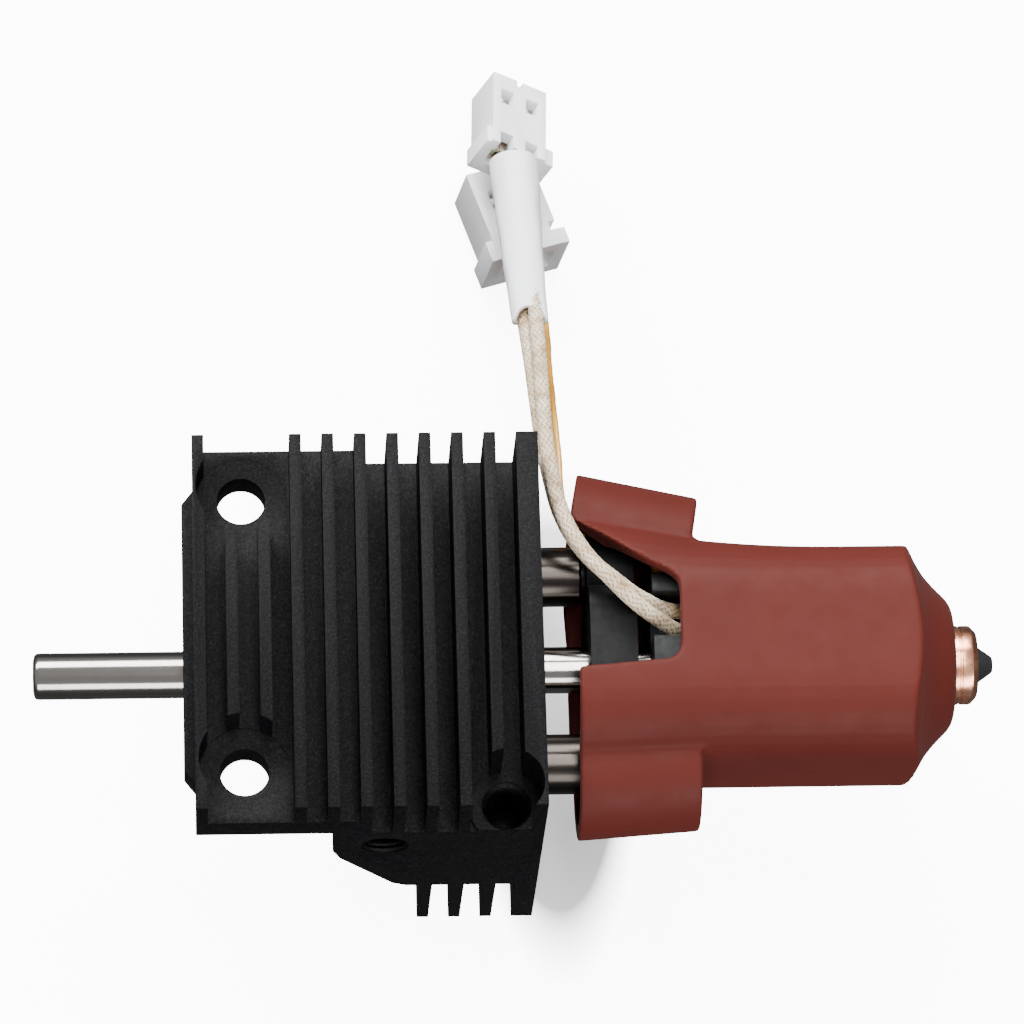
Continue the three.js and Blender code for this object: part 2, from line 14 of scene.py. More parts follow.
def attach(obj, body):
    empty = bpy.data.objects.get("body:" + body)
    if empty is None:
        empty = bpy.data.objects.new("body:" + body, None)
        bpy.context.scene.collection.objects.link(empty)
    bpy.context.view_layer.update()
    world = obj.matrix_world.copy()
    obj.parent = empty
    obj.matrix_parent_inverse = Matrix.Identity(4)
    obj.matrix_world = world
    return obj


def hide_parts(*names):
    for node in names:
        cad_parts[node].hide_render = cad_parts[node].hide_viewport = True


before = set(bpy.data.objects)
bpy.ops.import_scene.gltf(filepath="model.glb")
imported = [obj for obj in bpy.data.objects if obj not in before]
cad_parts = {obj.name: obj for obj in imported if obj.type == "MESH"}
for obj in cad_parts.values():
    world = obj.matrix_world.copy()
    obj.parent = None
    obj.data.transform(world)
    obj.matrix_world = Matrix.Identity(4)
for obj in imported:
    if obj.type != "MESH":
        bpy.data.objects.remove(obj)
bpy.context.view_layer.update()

# ---- layout, bench millimetres --------------------------------------------------------------
CENTRE_X, CENTRE_Y = 20.58, 0.85
AXIS_Z = 15.8
SINK_BACK, SINK_FRONT = -11.65, 13.35
SINK_MID = (SINK_BACK + SINK_FRONT) / 2
SINK_WIDTH, SINK_TOP = 22.1, 24.0
PLATE_TOP, BLOCK_TOP, BLOCK_BOTTOM, BLOCK_LEFT = 20.9, 18.5, 7.15, 8.7
FIN_PITCH, FIN_THICK, END_FIN_THICK = 2.07, 0.76, 1.4
HOLE_X, HOLE_SPREAD, HOLE_R, POCKET_R = 3.12, 9.1, 1.55, 2.9
BLIND_X, BLIND_Y, BLIND_R, BLIND_POCKET_R = 19.7, -10.1, 1.5, 2.2
SET_X, SET_R = 12.0, 1.46
FULL_FINS = (3, 4, 5, 6, 7, 8, 9)
LAST_FIN_ON_PLATE = 5
REAR_FINS = (9, 8, 7)
FIN_ROOT_SPREAD = 0.05
FLANGE_OUT, FLANGE_HALF, FLANGE_CHAMFER = 0.7, 8.9, 0.9
BLIND_PAD = 0.35
THREAD_PITCH, THREAD_DEEP = 0.5, 0.13
EDGE_ROUND = 0.07

TUBE_R, TUBE_BORE_R, TUBE_LEFT, TUBE_RIGHT = 1.5, 0.95, -10.3, 35.0
POST_Y, POST_R, STUD_R, STUD_LEFT = 6.37, 1.93, 1.25, 17.0
POST_LEFT, POST_RIGHT, POST_BORE_LEFT = 22.3, 25.0, 23.0
SCREW_R, SCREW_HEAD_R, SCREW_LEFT, SCREW_HEAD_LEFT, SCREW_RIGHT = 0.95, 1.85, 23.3, 27.2, 28.1
PLATE_LEFT, PLATE_RIGHT, PLATE_HALF, PLATE_EAR_R = 25.3, 28.3, 4.6, 2.9
HOT_LEFT, HOT_RIGHT, HOT_HALF, HOT_CORNER, HOT_WALL = 29.3, 45.6, 5.2, 1.5, 1.9
RING_LEFT, RING_RIGHT, RING_R, RING_BORE_R = 31.5, 45.0, 4.2, 2.9
BEAD_Y, BEAD_Z, BEAD_R, BEAD_LEFT, BEAD_RIGHT = 4.5, AXIS_Z + 2.6, 0.6, 31.6, 37.0
BEAD_CLEAR = 0.9
NOZZLE_R, NOZZLE_LEFT, NOZZLE_RIGHT = 2.55, 31.5, 50.36
TIP_STEM_R, TIP_STEM_LEFT, TIP_END = 1.22, 46.6, 51.46

SOCK_LEFT, SOCK_RIGHT, SOCK_HALF, SOCK_CORNER, SOCK_WALL = 24.4, 48.8, 7.0, 4.2, 1.0
EAR_R, EAR_INSIDE_R, EAR_END, EAR_INSIDE_END = 4.4, 3.3, 32.2, 31.0
SOCK_VOXEL = 0.16

LEAD_R = 0.5
LEAD_APART = 0.53
LEAD_TURN_TO = 0.9
LEAD_SETTLE = 0.1
LEAD_SPREAD = 0.16
SPREAD_TO = 0.4
AMBER_R = 0.2
AMBER_APART = 0.21
LEAD_PATH = [
    (31.2, 2.05, 19.0), (30.3, 2.1, 19.7), (29.1, 2.35, 20.9), (28.0, 2.9, 21.6),
    (26.6, 4.1, 22.0), (25.3, 5.4, 22.0), (24.2, 7.2, 21.7), (23.5, 9.2, 21.1),
    (23.1, 11.6, 20.3), (22.8, 14.4, 19.3), (22.65, 17.8, 17.9), (22.55, 21.6, 16.0),
    (22.4, 25.6, 13.8), (22.15, 30.2, 11.8), (21.98, 34.6, 10.2), (21.92, 36.8, 9.5),
    (21.9, 38.2, 9.1),
]
AMBER_PATH = [
    (31.25, 4.55, 18.4), (30.5, 5.0, 18.2), (29.9, 6.0, 17.6), (29.3, 7.8, 16.6),
    (28.4, 9.0, 16.1), (26.6, 9.05, 15.9), (25.2, 9.05, 15.8), (24.2, 9.5, 15.7),
    (23.95, 12.0, 15.5), (23.85, 14.8, 15.0), (23.7, 18.0, 13.9), (23.6, 22.4, 11.2),
    (23.65, 26.8, 7.9), (23.5, 30.4, 4.9), (23.2, 33.1, 2.9),
]


def mm(x, y, z):
    return Vector(((x - CENTRE_X) / 1000, (y - CENTRE_Y) / 1000, z / 1000))


# ---- camera ---------------------------------------------------------------------------------
TILT, YAW, ROLL = math.radians(20.323), math.radians(-2.856), math.radians(-0.644)
LENS_MM = 232.03
CAMERA_DISTANCE = 0.4303
AIM = mm(20.843, 11.566, 14.0)


def make_camera():
    forward = Vector((0, math.sin(TILT), -math.cos(TILT)))
    up = Vector((0, math.cos(TILT), math.sin(TILT)))
    right = Vector((1, 0, 0))
    right, forward = (math.cos(YAW) * right + math.sin(YAW) * forward,
                      math.cos(YAW) * forward - math.sin(YAW) * right)
    right, up = (math.cos(ROLL) * right + math.sin(ROLL) * up,
                 math.cos(ROLL) * up - math.sin(ROLL) * right)
    data = bpy.data.cameras.new("camera")
    data.lens = LENS_MM
    data.sensor_width = 36.0
    data.clip_start, data.clip_end = 0.01, 20.0
    camera = bpy.data.objects.new("camera", data)
    bpy.context.scene.collection.objects.link(camera)
    turn = Matrix((right, up, -forward)).transposed()
    camera.matrix_world = Matrix.Translation(AIM - forward * CAMERA_DISTANCE) @ turn.to_4x4()
    bpy.context.scene.camera = camera


make_camera()


# ---- mesh helpers ---------------------------------------------------------------------------
def add_object(name, mesh):
    piece = bpy.data.objects.new(name, mesh)
    bpy.context.scene.collection.objects.link(piece)
    return piece


def from_bmesh(name, bm):
    bmesh.ops.recalc_face_normals(bm, faces=bm.faces)
    mesh = bpy.data.meshes.new(name)
    bm.to_mesh(mesh)
    bm.free()
    return add_object(name, mesh)


def prism(name, outline, low, high, place):
    """Closed outline pushed from low to high; place(a, b, c) gives the bench point."""
    bm = bmesh.new()
    ends = [[bm.verts.new(mm(*place(a, b, c))) for a, b in outline] for c in (low, high)]
    bm.faces.new(ends[0][::-1])
    bm.faces.new(ends[1])
    count = len(outline)
    for i in range(count):
        j = (i + 1) % count
        bm.faces.new((ends[0][i], ends[0][j], ends[1][j], ends[1][i]))
    return from_bmesh(name, bm)


def along_x(a, b, c):
    return c, a, b


def along_y(a, b, c):
    return a, c, b


def along_z(a, b, c):
    return a, b, c


def circle(cx, cy, radius, count=48):
    steps = [2 * math.pi * i / count for i in range(count)]
    return [(cx + radius * math.cos(t), cy + radius * math.sin(t)) for t in steps]


def rectangle(x0, x1, y0, y1):
    return [(x0, y0), (x1, y0), (x1, y1), (x0, y1)]


def rounded_rectangle(x0, x1, y0, y1, radius, count=8):
    points = []
    corners = ((x1 - radius, y1 - radius, 0), (x0 + radius, y1 - radius, 1),
               (x0 + radius, y0 + radius, 2), (x1 - radius, y0 + radius, 3))
    for cx, cy, quarter in corners:
        for i in range(count + 1):
            t = math.pi / 2 * (quarter + i / count)
            points.append((cx + radius * math.cos(t), cy + radius * math.sin(t)))
    return points


def turned(name, profile, y=0.0, z=AXIS_Z, count=72):
    """Body of revolution about an axis along X; profile points are (x, radius)."""
    bm = bmesh.new()
    rings = []
    for x, radius in profile:
        if radius < 1e-6:
            rings.append([bm.verts.new(mm(x, y, z))])
        else:
            rings.append([bm.verts.new(mm(x, cy, cz)) for cy, cz in circle(y, z, radius, count)])
    for a, b in zip(rings, rings[1:] + rings[:1]):
        if len(a) == 1 and len(b) == 1:
            continue
        for i in range(count):
            j = (i + 1) % count
            if len(a) == 1:
                bm.faces.new((a[0], b[j], b[i]))
            elif len(b) == 1:
                bm.faces.new((a[i], a[j], b[0]))
            else:
                bm.faces.new((a[i], a[j], b[j], b[i]))
    return from_bmesh(name, bm)


def apply_modifiers(piece):
    graph = bpy.context.evaluated_depsgraph_get()
    mesh = bpy.data.meshes.new_from_object(piece.evaluated_get(graph))
    old = piece.data
    piece.modifiers.clear()
    piece.data = mesh
    bpy.data.meshes.remove(old)


def boolean(piece, others, operation):
    for other in others:
        modifier = piece.modifiers.new("boolean", "BOOLEAN")
        modifier.operation = operation
        modifier.solver = "EXACT"
        modifier.object = other
    bpy.context.view_layer.update()
    apply_modifiers(piece)
    for other in others:
        bpy.data.objects.remove(other)
    return piece


def cut(piece, *others):
    return boolean(piece, others, "DIFFERENCE")


def join(piece, *others):
    return boolean(piece, others, "UNION")


def soften(piece, width, segments=2, angle=30.0, keep_angle=40.0):
    """Rounds the sharp edges by width millimetres and shades the rest smooth."""
    modifier = piece.modifiers.new("bevel", "BEVEL")
    modifier.width = width / 1000
    modifier.segments = segments
    modifier.limit_method = "ANGLE"
    modifier.angle_limit = math.radians(angle)
    modifier.use_clamp_overlap = True
    bpy.context.view_layer.update()
    apply_modifiers(piece)
    shade(piece, keep_angle)
    return piece


def shade(piece, angle=40.0):
    piece.data.shade_smooth()
    piece.data.set_sharp_from_angle(angle=math.radians(angle))
    return piece


# ---- material helpers -----------------------------------------------------------------------
class Nodes:
    """Small builder for one material's node tree, in object coordinates."""

    def __init__(self, name):
        self.material = bpy.data.materials.new(name)
        self.material.use_nodes = True
        self.tree = self.material.node_tree
        self.shader = self.tree.nodes["Principled BSDF"]
        self.coords = self.tree.nodes.new("ShaderNodeTexCoord").outputs["Object"]

    def values(self, **sockets):
        for name, value in sockets.items():
            self.shader.inputs[name.replace("_", " ")].default_value = value
        return self

    def link(self, output, socket):
        self.tree.links.new(output, socket)

    def noise(self, scale, detail=3.0, rough=0.5, stretch=None):
        node = self.tree.nodes.new("ShaderNodeTexNoise")
        node.inputs["Scale"].default_value = scale
        node.inputs["Detail"].default_value = detail
        node.inputs["Roughness"].default_value = rough
        source = self.coords if stretch is None else self.mapped(self.coords, stretch)
        self.link(source, node.inputs["Vector"])
        return node.outputs["Fac"]

    def mapped(self, source, scale, rotation=(0, 0, 0)):
        node = self.tree.nodes.new("ShaderNodeMapping")
        node.inputs["Scale"].default_value = scale
        node.inputs["Rotation"].default_value = rotation
        self.link(source, node.inputs["Vector"])
        return node.outputs["Vector"]

    def cells(self, scale, output="Distance"):
        node = self.tree.nodes.new("ShaderNodeTexVoronoi")
        node.inputs["Scale"].default_value = scale
        self.link(self.coords, node.inputs["Vector"])
        return node.outputs[output]

    def ramp(self, source, stops):
        node = self.tree.nodes.new("ShaderNodeValToRGB")
        elements = node.color_ramp.elements
        while len(elements) < len(stops):
            elements.new(0.5)
        for element, (position, colour) in zip(elements, stops):
            element.position = position
            element.color = (*colour, 1.0) if len(colour) == 3 else colour
        self.link(source, node.inputs["Fac"])
        return node.outputs["Color"]

    def grey(self, source, low, high, at=(0.0, 1.0)):
        return self.ramp(source, [(at[0], (low,) * 3), (at[1], (high,) * 3)])

    def maths(self, operation, a, b=None):
        node = self.tree.nodes.new("ShaderNodeMath")
        node.operation = operation
        for index, value in enumerate((a, b)):
            if value is None:
                continue
            if isinstance(value, (int, float)):
                node.inputs[index].default_value = value
            else:
                self.link(value, node.inputs[index])
        return node.outputs["Value"]

    def mix(self, factor, a, b, blend="MIX"):
        node = self.tree.nodes.new("ShaderNodeMix")
        node.data_type = "RGBA"
        node.blend_type = blend
        for socket, value in ((0, factor), (6, a), (7, b)):
            if isinstance(value, (int, float)):
                node.inputs[socket].default_value = value
            elif isinstance(value, tuple):
                node.inputs[socket].default_value = (*value, 1.0)
            else:
                self.link(value, node.inputs[socket])
        return node.outputs[2]

    def bump(self, height, strength, distance_mm):
        node = self.tree.nodes.new("ShaderNodeBump")
        node.inputs["Strength"].default_value = strength
        node.inputs["Distance"].default_value = distance_mm / 1000
        self.link(height, node.inputs["Height"])
        previous = self.shader.inputs["Normal"].links
        if previous:
            self.link(previous[0].from_socket, node.inputs["Normal"])
        self.link(node.outputs["Normal"], self.shader.inputs["Normal"])

    def colour(self, source):
        self.link(source, self.shader.inputs["Base Color"])

    def rough(self, source):
        self.link(source, self.shader.inputs["Roughness"])


def specks(nodes, scale, rare, size):
    """1 inside small, rare, randomly chosen spots and 0 elsewhere."""
    chosen = nodes.maths("GREATER_THAN", nodes.maths("FRACT", nodes.cells(scale, "Color")), rare)
    near = nodes.maths("LESS_THAN", nodes.cells(scale), size)
    return nodes.maths("MULTIPLY", chosen, near)


def anodised_material():
    nodes = Nodes("black_anodised")
    nodes.values(Specular_IOR_Level=0.07)
    blast = nodes.noise(5200, 4, 0.65)
    broad = nodes.noise(260, 3)
    base = nodes.ramp(broad, [(0.35, (0.0021, 0.0021, 0.0026)), (0.7, (0.0027, 0.0028, 0.0034))])
    grain = nodes.ramp(nodes.noise(7000, 2, 0.6), [
        (0.42, (0.25, 0.25, 0.25)), (0.55, (1.0, 1.0, 1.0)), (0.72, (3.6, 3.6, 3.8))])
    base = nodes.mix(1.0, base, grain, "MULTIPLY")
    base = nodes.mix(specks(nodes, 3600, 0.965, 0.24), base, (0.04, 0.042, 0.046))
    nodes.colour(base)
    nodes.rough(nodes.grey(blast, 0.4, 0.62, (0.35, 0.7)))
    nodes.bump(blast, 0.5, 0.06)
    nodes.bump(nodes.noise(1500, 2), 0.25, 0.05)
    return nodes.material


def steel_material(name, tone, rough, scratch=0.15):
    nodes = Nodes(name)
    nodes.values(Metallic=1.0)
    lines = nodes.noise(900, 4, 0.6, stretch=(0.03, 1.0, 1.0))
    nodes.colour(nodes.mix(nodes.noise(700, 3), tuple(0.86 * c for c in tone), tone))
    nodes.rough(nodes.grey(lines, rough * 0.75, rough * 1.35, (0.3, 0.7)))
    nodes.bump(nodes.noise(3500, 3, 0.6, stretch=(0.05, 1.0, 1.0)), scratch, 0.01)
    return nodes.material


def copper_material():
    nodes = Nodes("copper")
    nodes.values(Metallic=1.0)
    tone = nodes.ramp(nodes.noise(600, 4, 0.6), [
        (0.3, (0.56, 0.23, 0.13)), (0.55, (0.85, 0.42, 0.27)), (0.75, (0.93, 0.56, 0.41))])
    nodes.colour(tone)
    nodes.rough(nodes.grey(nodes.noise(1400, 4), 0.17, 0.34, (0.3, 0.7)))
    nodes.bump(nodes.noise(2600, 3, 0.6, stretch=(0.15, 1.0, 1.0)), 0.2, 0.012)
    return nodes.material


def black_metal_material(name="black_metal", tone=(0.012, 0.012, 0.013), rough=0.3):
    nodes = Nodes(name)
    nodes.values(Specular_IOR_Level=0.12)
    nodes.colour(nodes.mix(nodes.noise(900, 3), tuple(0.7 * c for c in tone),
                           tuple(1.5 * c for c in tone)))
    nodes.rough(nodes.grey(nodes.noise(2400, 3), rough * 0.8, rough * 1.3, (0.3, 0.7)))
    nodes.bump(nodes.noise(2800, 3), 0.15, 0.01)
    return nodes.material


def silicone_material():
    nodes = Nodes("silicone")
    nodes.values(Specular_IOR_Level=0.1, Sheen_Weight=0.03, Sheen_Roughness=0.45,
                 Sheen_Tint=(0.8, 0.68, 0.68, 1.0))
    broad = nodes.noise(150, 3, 0.55)
    base = nodes.ramp(broad, [(0.3, (0.062, 0.0098, 0.0068)), (0.7, (0.070, 0.0114, 0.0080))])
    dust = specks(nodes, 1100, 0.93, 0.075)
    base = nodes.mix(dust, base, (0.30, 0.16, 0.12))
    nodes.colour(base)
    nodes.rough(nodes.grey(nodes.noise(700, 3), 0.5, 0.62, (0.3, 0.7)))
    nodes.bump(nodes.noise(4200, 3, 0.6), 0.12, 0.02)
    nodes.bump(nodes.noise(420, 2), 0.08, 0.1)
    return nodes.material


def braid_material():
    """Cream glass-fibre braid; the strands are in the mesh, the fibres are in the bump, and the
    crevices between the strands are darkened with painted shade.
    """
    nodes = Nodes("glass_braid")
    uv = nodes.tree.nodes.new("ShaderNodeUVMap").outputs["UV"]
    nodes.values(Specular_IOR_Level=0.3, Sheen_Weight=0.25, Sheen_Roughness=0.4)
    stain = nodes.noise(900, 4, 0.6)
    base = nodes.ramp(stain, [(0.32, (0.34, 0.22, 0.11)), (0.45, (0.56, 0.43, 0.28)),
                              (0.6, (0.70, 0.59, 0.44)), (0.8, (0.80, 0.72, 0.60))])
    # Painted shade: where a strand dips into a crevice, its colour is mixed towards dark brown
    # (0.15, 0.095, 0.05).
    attribute = nodes.tree.nodes.new("ShaderNodeAttribute")
    attribute.attribute_name = "painted_crevice_shade"
    painted_shade_mix = nodes.grey(attribute.outputs["Fac"], 0.0, 1.0, (0.3, 0.85))
    base = nodes.mix(painted_shade_mix, (0.15, 0.095, 0.05), base)
    nodes.colour(base)
    nodes.values(Roughness=0.8)
    fibre = nodes.tree.nodes.new("ShaderNodeTexNoise")
    fibre.inputs["Scale"].default_value = 60
    fibre.inputs["Detail"].default_value = 4
    nodes.link(nodes.mapped(uv, (3.0, 1.0, 1.0)), fibre.inputs["Vector"])
    nodes.bump(fibre.outputs["Fac"], 0.35, 0.03)
    return nodes.material


def amber_material():
    nodes = Nodes("amber_film")
    nodes.values(Coat_Weight=0.5, Coat_Roughness=0.12, Roughness=0.3)
    nodes.colour(nodes.ramp(nodes.noise(420, 3, 0.5, stretch=(1, 0.25, 1)), [
        (0.3, (0.40, 0.17, 0.008)), (0.55, (0.62, 0.29, 0.015)), (0.75, (0.80, 0.44, 0.05))]))
    nodes.bump(nodes.noise(900, 3), 0.25, 0.02)
    return nodes.material


def white_material(name, tone, rough, grain, subsurface=0.12):
    nodes = Nodes(name)
    nodes.values(Subsurface_Weight=subsurface, Subsurface_Scale=0.0006,
                 Specular_IOR_Level=0.4)
    nodes.colour(nodes.mix(nodes.noise(240, 3), tuple(0.95 * c for c in tone), tone))
    nodes.rough(nodes.grey(nodes.noise(900, 3), rough * 0.85, rough * 1.15, (0.3, 0.7)))
    nodes.bump(nodes.noise(2600, 3), grain, 0.015)
    return nodes.material


ANODISED = anodised_material()
TUBE_STEEL = steel_material("tube_steel", (0.34, 0.32, 0.30), 0.13)
# Painted shade: the standoffs in the gap and the sensor capsule inside the sock get a near-black,
# slightly brown steel tone, far darker than the tube steel, for the shade they sit in.
PAINTED_SHADE_STEEL = steel_material("steel_painted_shade", (0.042, 0.036, 0.032), 0.24, 0.3)
COPPER = copper_material()
BLACK_METAL = black_metal_material()
TIP_BLACK = black_metal_material("tip_black", (0.016, 0.016, 0.017), 0.25)
HOT_METAL = black_metal_material("hot_metal", (0.010, 0.0104, 0.011), 0.5)
PLATE_METAL = black_metal_material("plate_metal", (0.0045, 0.0047, 0.005), 0.5)
CERAMIC = white_material("ceramic", (0.8, 0.77, 0.7), 0.5, 0.3)
SILICONE = silicone_material()
BRAID = braid_material()
AMBER = amber_material()
SLEEVE_WHITE = white_material("sleeve_white", (0.93, 0.935, 0.95), 0.42, 0.05)
NYLON = white_material("nylon", (0.92, 0.925, 0.94), 0.38, 0.06)
TINNED = steel_material("tinned", (0.55, 0.46, 0.36), 0.3, 0.3)


def finish_piece(piece, material, slot, body, *nodes):
    piece.data.materials.clear()
    piece.data.materials.append(material)
    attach(piece, body)
    if nodes:
        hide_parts(*nodes)
    return piece


# ---- leads ----------------------------------------------------------------------------------
def spline(points, t):
    """Centripetal Catmull-Rom place at t, a share from 0 to 1 of the spans between the points."""
    ends = [2 * points[0] - points[1]] + points + [2 * points[-1] - points[-2]]
    spans = len(points) - 1
    first = min(int(t * spans), spans - 1)
    p0, p1, p2, p3 = ends[first:first + 4]
    t0 = 0.0
    t1 = t0 + (p1 - p0).length ** 0.5
    t2 = t1 + (p2 - p1).length ** 0.5
    t3 = t2 + (p3 - p2).length ** 0.5
    s = t1 + (t * spans - first) * (t2 - t1)
    a1 = p0 * ((t1 - s) / (t1 - t0)) + p1 * ((s - t0) / (t1 - t0))
    a2 = p1 * ((t2 - s) / (t2 - t1)) + p2 * ((s - t1) / (t2 - t1))
    a3 = p2 * ((t3 - s) / (t3 - t2)) + p3 * ((s - t2) / (t3 - t2))
    b1 = a1 * ((t2 - s) / (t2 - t0)) + a2 * ((s - t0) / (t2 - t0))
    b2 = a2 * ((t3 - s) / (t3 - t1)) + a3 * ((s - t1) / (t3 - t1))
    return b1 * ((t2 - s) / (t2 - t1)) + b2 * ((s - t1) / (t2 - t1))


def strand(points, apart, phase, turn, start, end, steps, settle=0.0, spread=0.0):
    """One strand of a pair that turns about the shared path between two shares of it.

    settle slows the turn down half way, where one strand lies over the other, and
    spread parts the strands at their start.
    """
    middle = [Vector(p) for p in points]
    line = []
    for k in range(steps + 1):
        t = k / steps
        low, high = max(t - 0.001, 0.0), min(t + 0.001, 1.0)
        along = (spline(middle, high) - spline(middle, low)).normalized()
        side = Vector((0, 0, 1)).cross(along).normalized()
        up = along.cross(side)
        share = min(max((t - start) / (end - start), 0.0), 1.0)
        share += settle * math.sin(2 * math.pi * share)
        angle = phase + turn * share
        away = apart + spread * max(0.0, 1 - t / SPREAD_TO)
        line.append(spline(middle, t)
                    + side * (away * math.cos(angle)) + up * (away * math.sin(angle)))
    return line


def even(line, step):
    """The same line with its points an even step apart."""
    total = sum((b - a).length for a, b in zip(line, line[1:]))
    count = max(2, round(total / step))
    out, target, run = [line[0].copy()], total / count, 0.0
    for a, b in zip(line, line[1:]):
        piece = (b - a).length
        while run + piece >= target * len(out) - 1e-9 and len(out) < count:
            out.append(a.lerp(b, (target * len(out) - run) / piece))
        run += piece
    out.append(line[-1].copy())
    return out


def frames(line):
    """Point, side and up at each point of the line, carried along without twist."""
    made = []
    side = None
    for i, point in enumerate(line):
        along = (line[min(i + 1, len(line) - 1)] - line[max(i - 1, 0)]).normalized()
        if side is None:
            side = along.cross(Vector((0, 0, 1))).normalized()
        side = (side - along * side.dot(along)).normalized()
        made.append((point, side, along.cross(side)))
    return made


def tube(name, line, radius_at, sides):
    """Closed tube along the line; radius_at(distance, angle) gives its radius in millimetres and
    the painted crevice shade there, 0 deep in a crevice and 1 on a crown.
    """
    bm = bmesh.new()
    uv = bm.loops.layers.uv.new("UVMap")
    painted_crevice_shade = bm.verts.layers.float.new("painted_crevice_shade")
    rings, places, run = [], [], 0.0
    track = frames(line)
    for i, (point, side, up) in enumerate(track):
        run += (point - track[i - 1][0]).length if i else 0.0
        ring = []
        for j in range(sides):
            angle = 2 * math.pi * j / sides
            radius, painted_shade_mix = radius_at(run, angle)
            vert = bm.verts.new(mm(*(point + side * (radius * math.cos(angle))
                                     + up * (radius * math.sin(angle)))))
            vert[painted_crevice_shade] = painted_shade_mix
            ring.append(vert)
        rings.append(ring)
        places.append(run)
    for i in range(len(rings) - 1):
        for j in range(sides):
            k = (j + 1) % sides
            face = bm.faces.new((rings[i][j], rings[i][k], rings[i + 1][k], rings[i + 1][j]))
            corners = ((places[i], j), (places[i], j + 1),
                       (places[i + 1], j + 1), (places[i + 1], j))
            for loop, (along, around) in zip(face.loops, corners):
                loop[uv].uv = (along / 10, around / sides)
    bm.faces.new(rings[0][::-1])
    bm.faces.new(rings[-1])
    piece = from_bmesh(name, bm)
    piece.data.shade_smooth()
    return piece


BRAID_CARRIERS = 8
BRAID_PITCH = 2.6
BRAID_DEPTH = 0.1


def braid_radius(radius):
    """Radius of an over-and-under braid with two sets of crossing strands, and the strand's height
    there, which also sets the painted crevice shade.
    """
    def at(run, angle):
        turn = 2 * math.pi * run / BRAID_PITCH
        one = BRAID_CARRIERS / 2 * angle + turn * BRAID_CARRIERS / 4
        two = BRAID_CARRIERS / 2 * angle - turn * BRAID_CARRIERS / 4
        over = math.sin(one) * math.sin(two) > 0
        crown = abs(math.sin(one)) if over else abs(math.sin(two))
        height = min(1.0, crown ** 0.6 * 1.05)
        return radius - BRAID_DEPTH + BRAID_DEPTH * height, height
    return at


def smooth_radius(radius, ripple=0.0):
    def at(run, angle):
        return radius + ripple * math.sin(2.1 * run + math.sin(3.3 * run)), 1.0
    return at


for letter, phase in (("a", 0.0), ("b", math.pi)):
    route = even(strand(LEAD_PATH, LEAD_APART, phase, math.pi, 0.0, LEAD_TURN_TO, 260,
                        LEAD_SETTLE, LEAD_SPREAD), 0.1)
    lead = tube("heater_braid_" + letter, route, braid_radius(LEAD_R), 32)
    finish_piece(lead, BRAID, "braid", "cold_side", "heater_lead_" + letter)
for letter, phase in (("a", math.pi / 2), ("b", 1.5 * math.pi)):
    route = even(strand(AMBER_PATH, AMBER_APART, phase, math.pi / 2, 0.5, 1.0, 220), 0.15)
    lead = tube("sensor_film_" + letter, route, smooth_radius(AMBER_R, 0.012), 14)
    finish_piece(lead, AMBER, "amber_film", "cold_side", "sensor_lead_" + letter)


# ---- heatsink -------------------------------------------------------------------------------
def sink_outline():
    line = [(0, BLOCK_TOP), (0, SINK_TOP), (FIN_THICK, SINK_TOP), (FIN_THICK, PLATE_TOP)]
    for i in FULL_FINS:
        x = i * FIN_PITCH
        left = PLATE_TOP if i <= LAST_FIN_ON_PLATE else BLOCK_TOP
        right = PLATE_TOP if i < LAST_FIN_ON_PLATE else BLOCK_TOP
        line += [(x, left), (x, SINK_TOP), (x + FIN_THICK, SINK_TOP), (x + FIN_THICK, right)]
    last = SINK_WIDTH - END_FIN_THICK
    line += [(last, BLOCK_TOP), (last, SINK_TOP), (SINK_WIDTH, SINK_TOP), (SINK_WIDTH, 0),
             (last, 0), (last, BLOCK_BOTTOM)]
    for i in REAR_FINS:
        x = i * FIN_PITCH
        line += [(x + FIN_THICK + FIN_ROOT_SPREAD, BLOCK_BOTTOM), (x + FIN_THICK, 0.0),
                 (x, 0.0), (x - FIN_ROOT_SPREAD, BLOCK_BOTTOM)]
    line += [(13.6, BLOCK_BOTTOM), (12.7, 7.7), (9.2, 13.2), (BLOCK_LEFT, 14.8),
             (BLOCK_LEFT, BLOCK_TOP)]
    return line


